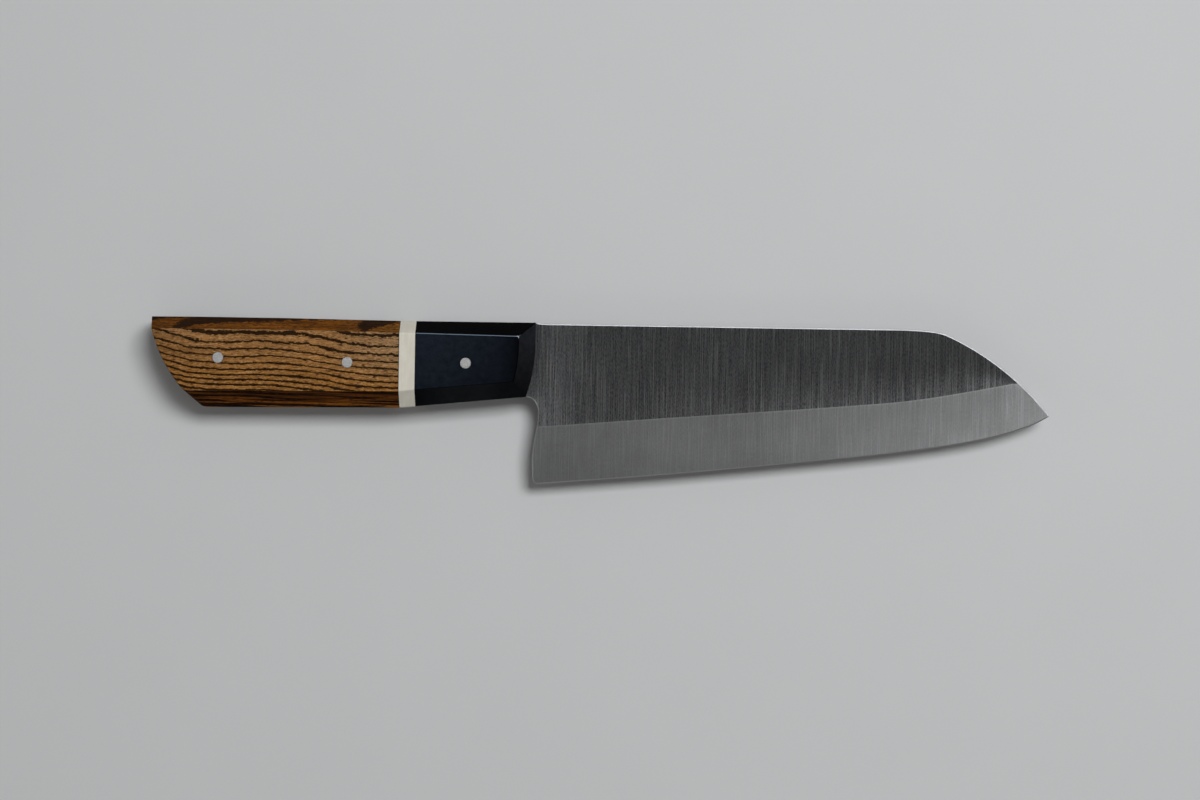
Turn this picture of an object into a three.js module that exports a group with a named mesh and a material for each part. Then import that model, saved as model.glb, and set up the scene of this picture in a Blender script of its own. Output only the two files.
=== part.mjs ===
// Santoku kitchen knife with a clipped point: one steel piece is blade and full tang, and a black
// bolster, an ivory spacer and a wood scale are bedded in epoxy on each side of the tang and pinned.
// Millimetres. The pieces are drawn with X along the spine from the front of the handle to the tip,
// Y up to the spine from the handle's top edge, and Z across the steel from its middle plane.
// At the end the whole knife is set down flat on its left side, centred over the origin.
import * as THREE from 'three';
import { mergeVertices } from 'three/addons/utils/BufferGeometryUtils.js';

const point = (x, y) => new THREE.Vector2(x, y);

// Steel: thicknesses
const steelThickness = 2.4;
const shoulderThickness = 1.6;
const edgeThickness = 0.24;

// Steel: outline, heights counted from the handle's top edge
const spineY = -0.25;
const neckX = 4;
const shoulder = { from: point(116, spineY), corner: point(127.3, -0.3), to: point(131.2, -1.72) };
const clipRadius = 88;
const tip = point(164.7, -27.4);
const edgePoints = [
  point(1.6, -51.4), point(40.6, -48.0), point(78.9, -44.0), point(117.3, -39.5),
  point(142.8, -35.2), point(157.5, -30.9), tip,
];
const heelCorner = point(0.05, -51.5);
const heelBackPoints = [point(0.75, -33.1), point(-0.05, -37.6), point(-0.6, -42.7), point(-0.36, -49.4)];
const choil = { corner: point(0.2, -23.8), to: point(1.12, -27.6), swell: point(1.25, -30.4) };

// Grind line, where the flat of the blade turns into the bevel; it ends on the clip
const grindPoints = [point(neckX, -32.9), point(41.9, -29.75), point(99.4, -25.1), point(125, -22.3)];
const grindEndX = 154.6;
const grindLeadShare = 0.3;

// Handle: thickness, joints and bedding
const handleThickness = 18;
const chamferDepth = 4.9;
const bondThickness = 0.3;
const spacerFrontX = -37.9;
const spacerRearX = -42.9;

// Handle: heights of its edges, first on the outline and then on the side face inside the chamfers
const topAt = {
  front: [0, -4.55], spacerFront: [-0.08, -4.03], spacerRear: [-0.1, -4.0], butt: [0.15, -3.75],
};
const bottomAt = {
  front: [-23.69, -18.95], spacerFront: [-27.19, -21.95], spacerRear: [-27.69, -22.45], butt: [-28.4, -23.16],
};
const topCrown = [point(-90, 0.55), point(-90, -3.35)];
const outlineLevel = 0;
const sideLevel = 1;

// Handle: front of the bolster, straight at the top and swept back below
const frontChamfer = 5.2;
const frontStraightY = -7;
const frontRadius = 50;

// Handle: round butt and the small bend where it meets the bottom edge
const buttCentre = point(-77.7, 7.1);
const buttRadius = 45;
const buttBend = { rise: 0.5, corner: 0.6, run: 2.7 };

// Pins
const pinRadius = 1.7;
const pinClearance = 0.1;
const pinSides = 24;
const pinPlaces = {
  bolster_pin: point(-21.85, -13.3), front_pin: point(-59.3, -13.6), rear_pin: point(-100.2, -12.7),
};

// Straight steps that each curve is drawn with
const steps = {
  neck: 5, shoulder: 8, clip: 28, grind: 40, edge: 120, choil: 8, heelSwell: 5, heelBack: 14, heelCorner: 6,
  gripTop: 10, butt: 18, buttBend: 5, front: 12,
};

const tangHalf = steelThickness / 2;
const edgeHalf = edgeThickness / 2;
const handleHalf = handleThickness / 2;
const blockFloor = tangHalf + bondThickness;
const thinning = (tangHalf - shoulderThickness / 2) / (shoulder.corner.x - neckX);

const bend = (from, corner, to, count) => new THREE.QuadraticBezierCurve(from, corner, to).getPoints(count);
const spline = (points, count) => new THREE.SplineCurve(points).getPoints(count);

// Points of an arc between two points, bulging to the left of the way it runs
function arc(from, to, radius, count) {
  const chord = to.clone().sub(from);
  const reach = Math.sqrt(radius ** 2 - chord.lengthSq() / 4);
  const centre = from.clone().lerp(to, 0.5).add(point(chord.y, -chord.x).setLength(reach));
  const start = from.clone().sub(centre).angle();
  const end = to.clone().sub(centre).angle();
  return new THREE.EllipseCurve(centre.x, centre.y, radius, radius, start, end, true).getPoints(count);
}

// Height of a line of points at a place along X, the line running towards +X
function heightAt(line, x) {
  const next = Math.max(1, line.findIndex((p) => p.x >= x));
  const [a, b] = [line[next - 1], line[next]];
  return THREE.MathUtils.lerp(a.y, b.y, (x - a.x) / (b.x - a.x));
}

// A closed solid from loose triangles of three [x, y, z] corners, all turned to face outwards
function closedSolid(triangles) {
  const corners = triangles.map((triangle) => triangle.map((c) => new THREE.Vector3(...c)));
  const volume = corners.reduce((sum, [a, b, c]) => sum + a.dot(b.clone().cross(c)), 0);
  const outward = volume > 0 ? corners : corners.map(([a, b, c]) => [a, c, b]);
  const loose = new THREE.BufferGeometry().setFromPoints(outward.flat());
  const solid = mergeVertices(loose);
  solid.computeVertexNormals();
  return solid;
}

// Flat triangles, all counter-clockwise, over an outline with holes
function fill(outline, holes = []) {
  const all = [...outline, ...holes.flat()];
  const area = ([a, b, c]) => (b.x - a.x) * (c.y - a.y) - (c.x - a.x) * (b.y - a.y);
  return THREE.ShapeUtils.triangulateShape(outline, holes)
    .map((indices) => indices.map((index) => all[index]))
    .map((triangle) => (area(triangle) > 0 ? triangle : triangle.toReversed()));
}

// A block whose walls join rings of matching points at given heights, with straight holes through it
function block(rings, heights, holes) {
  const triangles = [];
  const wall = (low, lowZ, high, highZ) => low.forEach((p, i) => {
    const [a, b, c, d] = [p, low[(i + 1) % low.length], high[(i + 1) % high.length], high[i]];
    triangles.push([[a.x, a.y, lowZ], [b.x, b.y, lowZ], [c.x, c.y, highZ]]);
    triangles.push([[a.x, a.y, lowZ], [c.x, c.y, highZ], [d.x, d.y, highZ]]);
  });
  const last = rings.length - 1;
  fill(rings[0], holes).forEach((t) => triangles.push(t.map((p) => [p.x, p.y, heights[0]]).reverse()));
  fill(rings[last], holes).forEach((t) => triangles.push(t.map((p) => [p.x, p.y, heights[last]])));
  rings.slice(1).forEach((ring, i) => wall(rings[i], heights[i], ring, heights[i + 1]));
  holes.forEach((hole) => wall(hole.toReversed(), heights[0], hole.toReversed(), heights[last]));
  return closedSolid(triangles);
}

// A plate with two matching faces, from flat triangles whose points each carry half a thickness
function plate(triangles) {
  const key = (p) => `${p.x.toFixed(5)},${p.y.toFixed(5)}`;
  const sides = triangles.flatMap(([a, b, c]) => [[a, b], [b, c], [c, a]]);
  const known = new Set(sides.map(([a, b]) => `${key(a)} ${key(b)}`));
  const rim = sides.filter(([a, b]) => !known.has(`${key(b)} ${key(a)}`));
  const right = (p) => [p.x, p.y, p.half];
  const left = (p) => [p.x, p.y, -p.half];
  return closedSolid([
    ...triangles.map((t) => t.map(right)),
    ...triangles.map((t) => t.toReversed().map(left)),
    ...rim.map(([a, b]) => [left(a), left(b), right(b)]),
    ...rim.map(([a, b]) => [left(a), right(b), right(a)]),
  ]);
}

// Place on the round butt at a height
function buttPoint(y) {
  return point(buttCentre.x - Math.sqrt(buttRadius ** 2 - (y - buttCentre.y) ** 2), y);
}

// Top edge of the wood, from the spacer back to the butt
function gripTop(level) {
  const buttTop = buttPoint(topAt.butt[level]);
  return bend(point(spacerRearX, topAt.spacerRear[level]), topCrown[level], buttTop, steps.gripTop);
}

// The butt, downwards from below its top corner, with the bend into the bottom edge
function buttLine(level) {
  const top = buttPoint(topAt.butt[level]);
  const low = buttPoint(bottomAt.butt[level] + buttBend.rise);
  const corner = point(low.x + buttBend.corner, bottomAt.butt[level]);
  const out = point(low.x + buttBend.run, bottomAt.butt[level]);
  const round = arc(low, top, buttRadius, steps.butt).reverse();
  return [...round.slice(1, -1), ...bend(low, corner, out, steps.buttBend)];
}

// Swept part of the bolster's front, upwards from its bottom corner
function frontLine(level) {
  const x = -frontChamfer * level;
  const turn = Math.asin((frontStraightY - bottomAt.front[level]) / frontRadius);
  const sweep = new THREE.EllipseCurve(x - frontRadius, frontStraightY, frontRadius, frontRadius, -turn, 0);
  return sweep.getPoints(steps.front);
}

// Rings of the three blocks at the outline level or the side level, counter-clockwise
function gripRing(level) {
  return [...gripTop(level), ...buttLine(level), point(spacerRearX, bottomAt.spacerRear[level])];
}

function spacerRing(level) {
  return [
    point(spacerFrontX, topAt.spacerFront[level]), point(spacerRearX, topAt.spacerRear[level]),
    point(spacerRearX, bottomAt.spacerRear[level]), point(spacerFrontX, bottomAt.spacerFront[level]),
  ];
}

function bolsterRing(level) {
  return [
    point(-frontChamfer * level, topAt.front[level]), point(spacerFrontX, topAt.spacerFront[level]),
    point(spacerFrontX, bottomAt.spacerFront[level]), ...frontLine(level),
  ];
}

// Outline that tang, beds and blocks share, from the front top round by the butt to the spacer
function handleOutline() {
  return [
    point(0, topAt.front[outlineLevel]), point(spacerFrontX, topAt.spacerFront[outlineLevel]),
    ...gripRing(outlineLevel), point(spacerFrontX, bottomAt.spacerFront[outlineLevel]),
  ];
}

function pinHole(place) {
  const radius = pinRadius + pinClearance;
  return new THREE.EllipseCurve(place.x, place.y, radius, radius).getPoints(pinSides).slice(0, -1);
}

// Blade and tang: the tang and neck at full thickness, the flat thinning to the clip, and the bevel
function bladeSolid() {
  const neckTop = point(0, topAt.front[outlineLevel]);
  const spineBend = bend(neckTop, point(neckX / 2, spineY), point(neckX, spineY), steps.neck);
  const shoulderLine = bend(shoulder.from, shoulder.corner, shoulder.to, steps.shoulder);
  const clip = arc(shoulder.to, tip, clipRadius, steps.clip);
  const grindEnd = point(grindEndX, heightAt(clip, grindEndX));
  const grind = spline([...grindPoints, grindEnd], steps.grind);
  const edge = spline(edgePoints, steps.edge);
  const [heelEdge, heelTop] = [edgePoints[0], heelBackPoints[0]];
  const grindLead = point(heelEdge.x, THREE.MathUtils.lerp(heelTop.y, grind[0].y, grindLeadShare));
  const clipAbove = clip.filter((p) => p.x < grindEndX);
  const clipBelow = clip.filter((p) => p.x > grindEndX);

  const neckBottom = frontLine(outlineLevel)[0];
  const heelAbove = [
    ...bend(neckBottom, choil.corner, choil.to, steps.choil),
    ...bend(choil.to, choil.swell, heelTop, steps.heelSwell).slice(1),
  ];
  const heelBelow = spline(heelBackPoints, steps.heelBack);
  const heelRound = bend(heelBackPoints.at(-1), heelCorner, heelEdge, steps.heelCorner).slice(1, -1);

  const flatHalf = (x) => tangHalf - thinning * Math.max(0, x - neckX);
  const heelHalf = (y) => {
    const rise = THREE.MathUtils.clamp((y - heelEdge.y) / (heelTop.y - heelEdge.y), 0, 1);
    return THREE.MathUtils.lerp(edgeHalf, tangHalf, rise);
  };
  const tipHalf = (x) => {
    const run = (x - grindEndX) / (tip.x - grindEndX);
    return THREE.MathUtils.lerp(flatHalf(grindEndX), edgeHalf, run);
  };
  const thick = (p, half) => Object.assign(p.clone(), { half });

  const tang = fill(
    [...spineBend.toReversed(), ...handleOutline().slice(1), ...heelAbove, grindLead, grind[0]],
    Object.values(pinPlaces).map(pinHole),
  );
  const spineAbove = [...shoulderLine.slice(0, -1), ...clipAbove];
  const flat = fill([spineBend.at(-1), ...grind, ...spineAbove.toReversed()]);
  const heel = fill([...heelBelow, ...heelRound, heelEdge, grindLead]);

  const bevelTop = [
    thick(grindLead, tangHalf),
    ...grind.map((p) => thick(p, flatHalf(p.x))),
    ...clipBelow.slice(0, -1).map((p) => thick(p, tipHalf(p.x))),
  ];
  const bevelFoot = bevelTop.map((p) => thick(point(p.x, heightAt(edge, p.x)), edgeHalf));
  const bevel = bevelTop.slice(1).flatMap((p, i) => [
    [bevelFoot[i], bevelFoot[i + 1], p],
    [bevelFoot[i], p, bevelTop[i]],
  ]);
  bevel.push([bevelFoot.at(-1), thick(tip, edgeHalf), bevelTop.at(-1)]);

  return plate([
    ...tang.map((t) => t.map((p) => thick(p, tangHalf))),
    ...flat.map((t) => t.map((p) => thick(p, flatHalf(p.x)))),
    ...heel.map((t) => t.map((p) => thick(p, heelHalf(p.y)))),
    ...bevel,
  ]);
}

// A handle block on one side: upright walls on the bed, then sloping faces up to the side face
function handleBlock(ring, side, pins) {
  const rings = [ring(outlineLevel), ring(outlineLevel), ring(sideLevel)];
  const heights = [blockFloor, handleHalf - chamferDepth, handleHalf].map((z) => z * side);
  return block(rings, heights, pins.map((pin) => pinHole(pinPlaces[pin])));
}

function epoxyBed(side) {
  const outline = [...handleOutline(), ...frontLine(outlineLevel)];
  const heights = [tangHalf, blockFloor].map((z) => z * side);
  return block([outline, outline], heights, Object.values(pinPlaces).map(pinHole));
}

const finishes = {
  satinSteel: { color: 0x8f9092, roughness: 0.35, metalness: 1 },
  pinSteel: { color: 0xb4b3b0, roughness: 0.4, metalness: 1 },
  blackResin: { color: 0x15171b, roughness: 0.35, metalness: 0 },
  ivoryResin: { color: 0xd6d1c4, roughness: 0.45, metalness: 0 },
  stripedWood: { color: 0x6b4a2b, roughness: 0.5, metalness: 0 },
  curedEpoxy: { color: 0x2a241d, roughness: 0.5, metalness: 0 },
};

const knife = new THREE.Group();

function addPiece(name, geometry, finish) {
  const mesh = new THREE.Mesh(geometry, new THREE.MeshStandardMaterial(finishes[finish]));
  mesh.name = name;
  knife.add(mesh);
  return mesh;
}

addPiece('blade', bladeSolid(), 'satinSteel');

Object.entries({ right: 1, left: -1 }).forEach(([name, side]) => {
  addPiece(`epoxy_bed_${name}`, epoxyBed(side), 'curedEpoxy');
  addPiece(`bolster_${name}`, handleBlock(bolsterRing, side, ['bolster_pin']), 'blackResin');
  addPiece(`spacer_${name}`, handleBlock(spacerRing, side, []), 'ivoryResin');
  addPiece(`grip_scale_${name}`, handleBlock(gripRing, side, ['front_pin', 'rear_pin']), 'stripedWood');
});

Object.entries(pinPlaces).forEach(([name, place]) => {
  const pin = new THREE.CylinderGeometry(pinRadius, pinRadius, handleThickness, pinSides);
  addPiece(name, pin.rotateX(Math.PI / 2), 'pinSteel').position.set(place.x, place.y, 0);
});

// Set the knife down on its left side with the middle of its box over the origin
const box = new THREE.Box3().setFromObject(knife);
const middle = box.getCenter(new THREE.Vector3());
knife.position.set(-middle.x, -middle.y, -box.min.z);

export default knife;
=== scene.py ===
import math

import bmesh
import bpy
from mathutils import Matrix, Vector, geometry
from mathutils.bvhtree import BVHTree


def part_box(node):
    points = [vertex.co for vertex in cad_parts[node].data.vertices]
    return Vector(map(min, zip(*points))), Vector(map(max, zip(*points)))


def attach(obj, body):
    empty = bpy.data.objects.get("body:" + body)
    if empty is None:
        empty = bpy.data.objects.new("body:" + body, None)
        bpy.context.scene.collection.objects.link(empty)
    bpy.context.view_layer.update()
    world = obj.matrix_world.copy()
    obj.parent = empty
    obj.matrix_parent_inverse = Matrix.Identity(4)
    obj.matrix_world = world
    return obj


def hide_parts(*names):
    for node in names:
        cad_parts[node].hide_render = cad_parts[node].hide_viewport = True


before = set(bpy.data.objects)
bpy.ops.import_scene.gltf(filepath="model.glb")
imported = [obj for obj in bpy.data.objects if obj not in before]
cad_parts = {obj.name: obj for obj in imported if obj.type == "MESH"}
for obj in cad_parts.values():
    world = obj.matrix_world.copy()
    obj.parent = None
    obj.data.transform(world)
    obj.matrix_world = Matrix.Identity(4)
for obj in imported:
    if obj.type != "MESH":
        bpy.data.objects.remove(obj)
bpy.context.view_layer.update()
mm = 0.001
slack = 0.005 * mm  # how close counts as touching
merge = 0.001 * mm  # how close points are made one
print("frame loaded:", len(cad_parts), "CAD pieces")

# Places that several pieces share, read from the frame
steelLow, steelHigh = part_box("blade")
spacerLow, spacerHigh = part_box("spacer_right")
bolsterLow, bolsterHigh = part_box("bolster_right")
gripLow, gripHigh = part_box("grip_scale_right")
steelMiddle = (steelLow.z + steelHigh.z) / 2
bedFaces = (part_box("epoxy_bed_right")[1].z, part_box("epoxy_bed_left")[0].z)
bolsterPoints = [v.co.copy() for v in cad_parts["bolster_right"].data.vertices]
sidePoints = [p for p in bolsterPoints if p.z > bolsterHigh.z - slack]
bolsterCorner = max(sidePoints, key=lambda p: p.x + p.y)  # upper front corner of its side face
neckCorner = max(bolsterPoints, key=lambda p: p.x - p.y)  # lower front corner, at the steel
pinPieces = {"bolsterPin": "bolster_pin", "frontPin": "front_pin", "rearPin": "rear_pin"}
pinPlaces = {node: sum(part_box(node), Vector()) / 2 for node in pinPieces.values()}


# Mesh helpers

def cadCopy(node):
    bm = bmesh.new()
    bm.from_mesh(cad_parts[node].data)
    bmesh.ops.remove_doubles(bm, verts=bm.verts, dist=merge)
    return bm


def makePiece(name, bm, materials, node, normals=None):
    for face in bm.faces:
        face.smooth = True
    mesh = bpy.data.meshes.new(name)
    bm.to_mesh(mesh)
    bm.free()
    for material in materials:
        mesh.materials.append(material)
    piece = bpy.data.objects.new(name, mesh)
    bpy.context.scene.collection.objects.link(piece)
    if normals:
        mesh.normals_split_custom_set(normals)
    else:
        shade = piece.modifiers.new("faceNormals", "WEIGHTED_NORMAL")
        shade.keep_sharp = True
    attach(piece, "root")
    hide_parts(node)
    return piece


def markSharp(bm, angle):
    for edge in bm.edges:
        if edge.calc_face_angle(0) > math.radians(angle):
            edge.smooth = False


def chains(edges):
    # walks loose edges into ordered lines of vertices, closed ones without the repeat
    links = {}
    for edge in edges:
        a, b = edge.verts
        links.setdefault(a, []).append(b)
        links.setdefault(b, []).append(a)
    ends = [v for v in links if len(links[v]) == 1]
    lines, used = [], set()
    for start in ends + list(links):
        if start in used:
            continue
        line = [start]
        used.add(start)
        while True:
            ahead = [v for v in links[line[-1]] if v not in used]
            if not ahead:
                break
            line.append(ahead[0])
            used.add(ahead[0])
        lines.append(line)
    return lines


def signedArea(points):
    return sum(a.x * b.y - b.x * a.y for a, b in zip(points, points[1:] + points[:1])) / 2


def isInside(p, loop):
    # counts how often a line from the point towards +X crosses the loop
    crossed = False
    for a, b in zip(loop, loop[1:] + loop[:1]):
        if (a.y > p.y) != (b.y > p.y) and p.x < a.x + (b.x - a.x) * (p.y - a.y) / (b.y - a.y):
            crossed = not crossed
    return crossed


def smoothStep(value, low=0.0, high=1.0):
    t = min(1, max(0, (value - low) / (high - low)))
    return t * t * (3 - 2 * t)


def heightOn(line, x):
    # y of a line that runs towards +X, held level before its first point
    if x <= line[0].x:
        return line[0].y
    for a, b in zip(line, line[1:]):
        if a.x <= x <= b.x:
            return a.y + (b.y - a.y) * (x - a.x) / max(b.x - a.x, 1e-9)
    return None


# Material helpers

noiseLevels = (0.3, 0.7)  # that most of a noise lies between
toneLevels = (0.35, 0.65)  # and most of a blend of noises


def newMaterial(name):
    material = bpy.data.materials.new(name)
    material.use_nodes = True
    tree = material.node_tree
    tree.nodes.clear()
    output = tree.nodes.new("ShaderNodeOutputMaterial")
    shader = tree.nodes.new("ShaderNodeBsdfPrincipled")
    tree.links.new(shader.outputs["BSDF"], output.inputs["Surface"])
    return material, tree, shader


def add(tree, kind, inputs=None, **settings):
    node = tree.nodes.new("ShaderNode" + kind)
    for key, value in settings.items():
        setattr(node, key, value)
    for key, value in (inputs or {}).items():
        plug(value, node.inputs[key])
    return node


def join(kind, inputs, **settings):
    # adds a node to the tree that its inputs come from
    tree = next(value.id_data for value in inputs.values() if isinstance(value, bpy.types.NodeSocket))
    return add(tree, kind, inputs, **settings)


def plug(value, socket):
    # links another node's output, or sets a fixed value
    if isinstance(value, bpy.types.NodeSocket):
        socket.id_data.links.new(value, socket)
    elif socket.type == "RGBA":
        socket.default_value = (*value, 1.0)
    else:
        socket.default_value = value


def calc(operation, *values):
    return join("Math", dict(enumerate(values)), operation=operation).outputs[0]


def plus(a, b):
    return calc("ADD", a, b)


def minus(a, b):
    return calc("SUBTRACT", a, b)


def times(first, *others):
    for value in others:
        first = calc("MULTIPLY", first, value)
    return first


def absolute(value):
    return calc("ABSOLUTE", value)


def blend(a, b, share):
    return plus(times(a, share), times(b, 1 - share))


def remap(value, fromLow, fromHigh, toLow=0.0, toHigh=1.0, kind="LINEAR"):
    inputs = {"Value": value, "From Min": fromLow, "From Max": fromHigh, "To Min": toLow, "To Max": toHigh}
    return join("MapRange", inputs, interpolation_type=kind, clamp=True).outputs["Result"]


def softly(value, fromLow, fromHigh, toLow=0.0, toHigh=1.0):
    return remap(value, fromLow, fromHigh, toLow, toHigh, "SMOOTHSTEP")


def follow(value, *ramps):
    return times(*[remap(value, *ramp) for ramp in ramps])


def spread(noise, low, high):
    return remap(noise, *noiseLevels, low, high)


def mixColor(factor, a, b, blendKind="MIX"):
    inputs = {0: factor, 6: a, 7: b}
    return join("Mix", inputs, data_type="RGBA", blend_type=blendKind).outputs[2]


def grey(value):
    return join("CombineColor", {0: value, 1: value, 2: value}).outputs[0]


def shaded(color, shade):
    return mixColor(1.0, color, grey(shade), "MULTIPLY")


def millimetres(tree):
    # object coordinates, which are the knife's own, in millimetres
    place = add(tree, "TexCoord").outputs["Object"]
    return join("VectorMath", {0: place, "Scale": 1 / mm}, operation="SCALE").outputs["Vector"]


def parts(vector):
    return join("SeparateXYZ", {0: vector}).outputs


def directions(tree):
    # how far the surface faces the tip and the spine, and how squarely it faces either side
    forward, up, side = parts(add(tree, "NewGeometry").outputs["Normal"])
    return forward, up, absolute(side)


def noiseAt(place, scale, detail, roughness, offset=(0, 0, 0)):
    # scale is for each mm along X, Y and Z, and offset is where the noise starts
    moved = join("Mapping", {"Vector": place, "Scale": scale, "Location": offset}).outputs["Vector"]
    inputs = {"Vector": moved, "Scale": 1.0, "Detail": detail, "Roughness": roughness}
    return join("TexNoise", inputs).outputs["Fac"]


def noisesAt(place, settings):
    return {name: noiseAt(place, *setting) for name, setting in settings.items()}


def paint(shader, color, roughness):
    plug(color, shader.inputs["Base Color"])
    plug(roughness, shader.inputs["Roughness"])


def addBump(shader, height, strength, depth):
    inputs = {"Height": height, "Strength": strength, "Distance": depth * mm}
    plug(join("Bump", inputs).outputs["Normal"], shader.inputs["Normal"])


# Steel

steelFinish = {
    "flat": {
        "dark": (0.10, 0.103, 0.109), "light": (0.53, 0.535, 0.545),
        "roughness": (0.33, 0.285), "width": 1.0,
    },
    "bevel": {
        "dark": (0.30, 0.304, 0.308), "light": (0.45, 0.455, 0.46),
        "roughness": (0.32, 0.285), "width": 0.8,
    },
    "spine": {
        "dark": (0.45, 0.465, 0.48), "light": (0.64, 0.655, 0.67),
        "roughness": (0.44, 0.38), "width": 0.7,
    },
    "edge": {
        "dark": (0.40, 0.404, 0.408), "light": (0.50, 0.504, 0.508),
        "roughness": (0.40, 0.34), "width": 0.5,
    },
    "level": 0.385,  # how light the steel is between dark and light, on average
    # brushed lines: mm across, mm along, share
    "lines": ((0.2, 36.0, 0.5), (0.2, 0.9, 0.5), (0.45, 40.0, 0.13), (1.8, 70.0, 0.06)),
    "lineLevels": (0.36, 0.64),  # noise levels of their dark and light
    "bright": (0.3, 18.0, 0.57, 0.66, 0.5),  # single bright lines: mm across and along, noise levels, share
    "bump": (0.3, 0.004),  # strength, and depth of the lines in mm
    "haze": (0.92, 1.08),  # shades of faint clouds
    "hazeNoise": ((0.05, 0.07, 0.05), 3.0, 0.6, (0.3, 4.0, 0.0)),  # scale, detail, roughness and offset
    "bolster": (1.55, 22.0),  # gain of the flat at the bolster, and for how many mm
    "tip": (1.8, 93.0),  # the same for the bevel at the tip, a painted highlight
    "ridge": 1.25,  # and for the upper edge of the bevel, a painted highlight along the grind line
    "roughLevels": (0.2, 0.8),  # how light the steel is where it is roughest and smoothest
}


def steelMaterial(name, along="y", anisotropy=1.0):
    finish = steelFinish[name]
    material, tree, shader = newMaterial("brushed_" + name)
    place = millimetres(tree)

    def brushed(width, length, offset, detail):
        across, lengthwise = 1 / (width * finish["width"]), 1 / length
        scale = (across, lengthwise, 0.3) if along == "y" else (lengthwise, across, across)
        return noiseAt(place, scale, detail, 0.6, offset)

    # each set of lines has its own place in the noise
    width, length, low, high, share = steelFinish["bright"]
    bright = remap(brushed(width, length, (5.7, 2.2, 0.4), 1.0), low, high, 0.0, share)
    mixed = plus(bright, steelFinish["level"])
    for number, (width, length, share) in enumerate(steelFinish["lines"]):
        noise = brushed(width, length, (3.1 + 4.3 * number, 0.4 + number, 0.2), 3.0)
        mixed = plus(mixed, remap(noise, *steelFinish["lineLevels"], -share / 2, share / 2))
    color = mixColor(mixed, finish["dark"], finish["light"])

    x = parts(place)["X"]
    shade = spread(noiseAt(place, *steelFinish["hazeNoise"]), *steelFinish["haze"])
    if name == "flat":
        gain, run = steelFinish["bolster"]
        front = bolsterHigh.x / mm
        shade = times(shade, softly(x, front, front + run, gain, 1.0))
    if name == "bevel":
        # the bevel brightens towards the tip: painted highlight
        gain, run = steelFinish["tip"]
        tip = steelHigh.x / mm
        # painted highlight along the grind line
        ridge = add(tree, "Attribute", attribute_name="ridge").outputs["Fac"]
        ridgeShade = remap(ridge, 0.0, 1.0, 1.0, steelFinish["ridge"])
        shade = times(shade, remap(x, tip - run, tip, 1.0, gain), ridgeShade)
    rough = remap(mixed, *steelFinish["roughLevels"], *finish["roughness"])
    paint(shader, shaded(color, shade), rough)
    shader.inputs["Metallic"].default_value = 1.0
    shader.inputs["Anisotropic"].default_value = anisotropy
    tangent = add(tree, "Tangent", direction_type="UV_MAP", uv_map="brushing").outputs["Tangent"]
    plug(tangent, shader.inputs["Tangent"])
    addBump(shader, mixed, *steelFinish["bump"])
    return material


# Blade and tang

bladeShape = {
    "rimRound": 0.12,  # mm, round on the spine, clip, choil and heel
    "rimFacets": (0.25, 0.32),  # mm, polished facet inside that round, on the spine and clip and elsewhere
    "rimTilts": (7, 11, 32),  # degrees of that facet on the spine, on the clip, and on the choil and heel
    "topFacing": (0.15, 0.45),  # how far the rim faces up, from choil and heel to clip
    "spineFacing": (0.93, 0.99),  # and from clip to spine
    "spineFinish": 0.3,  # how far it faces up where the spine's finish starts
    "rimRun": 0.8,  # mm from the bolster over which the round and facet come in
    "thinShare": 0.75,  # most of the half thickness that they may take
    "edgeHeight": 0.3,  # mm, sharpened facet along the cutting edge
    "edgeHalf": 0.012,  # mm, half that edge's thickness
    "crownDepth": 0.17,  # mm, belly of the flat where it rolls into the bevel
    "crownHeight": 13.0,  # mm
    "crownShare": 0.8,  # most of the room above the grind line that it takes
    "crownLeast": 1.5,  # mm, lower bellies get no rows of points
    "crownSteps": 6,
    "crownGrowth": 1.2,  # how soon the belly is full, 1 being at the end of the grind line
    "crownRun": 10.0,  # mm before the clip over which it fades out
    "topAbove": -2.0,  # mm, rim above this is spine or clip
    "ridgeWidth": 0.6,  # mm, painted highlight along the upper edge of the bevel
    "turnLimit": 35,  # degrees, sharper corners than this stay sharp
}
flatFace, bevelFace, spineFace, edgeFace = range(4)


def bladeOutline(cad):
    right = {f for f in cad.faces if min(v.co.z for v in f.verts) > steelMiddle}
    rim = [e for e in cad.edges if sum(f in right for f in e.link_faces) == 1]
    loops = sorted(chains(rim), key=len)
    loops = [line if signedArea([v.co for v in line]) > 0 else line[::-1] for line in loops]

    # every point of the side face that is on no rim belongs to the grind line
    onRim = {v for line in loops for v in line}
    ridge = sorted({v for f in right for v in f.verts} - onRim, key=lambda v: v.co.x)

    def carryOn(last, before):
        way = (last.co - before.co).xy.normalized()
        ends = [e.other_vert(last) for e in last.link_edges]
        ends = [v for v in ends if v in onRim and v.co.z > steelMiddle]
        return max(ends, key=lambda v: (v.co - last.co).xy.normalized().dot(way))

    grind = [carryOn(ridge[0], ridge[1]), *ridge, carryOn(ridge[-1], ridge[-2])]
    return loops[-1], loops[:-1], grind


def rimProfile(outward):
    # distance inward, drop and turn of the normal at each step from the rim in to the flat
    spine, clip, choil = (math.radians(a) for a in bladeShape["rimTilts"])
    onTop = smoothStep(outward.y, *bladeShape["topFacing"])
    upper = clip + (spine - clip) * smoothStep(outward.y, *bladeShape["spineFacing"])
    tilt = choil + (upper - choil) * onTop
    thin, wide = (w * mm for w in bladeShape["rimFacets"])
    r, run = bladeShape["rimRound"] * mm, wide + (thin - wide) * onTop
    fall = run * math.tan(tilt)
    last = math.pi / 2 - tilt
    steps = []
    for a in (0, last / 2, last):
        steps.append((r * (1 - math.cos(a)), fall + r * (math.sin(last) - math.sin(a)), a))
    edge = steps[-1][0]
    return steps + [(edge + run / 2, fall / 2, last), (edge + run, 0, last)]


def outwardAt(points, i):
    way = (points[(i + 1) % len(points)] - points[i - 1]).xy.normalized()
    return Vector((way.y, -way.x, 0))


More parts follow.
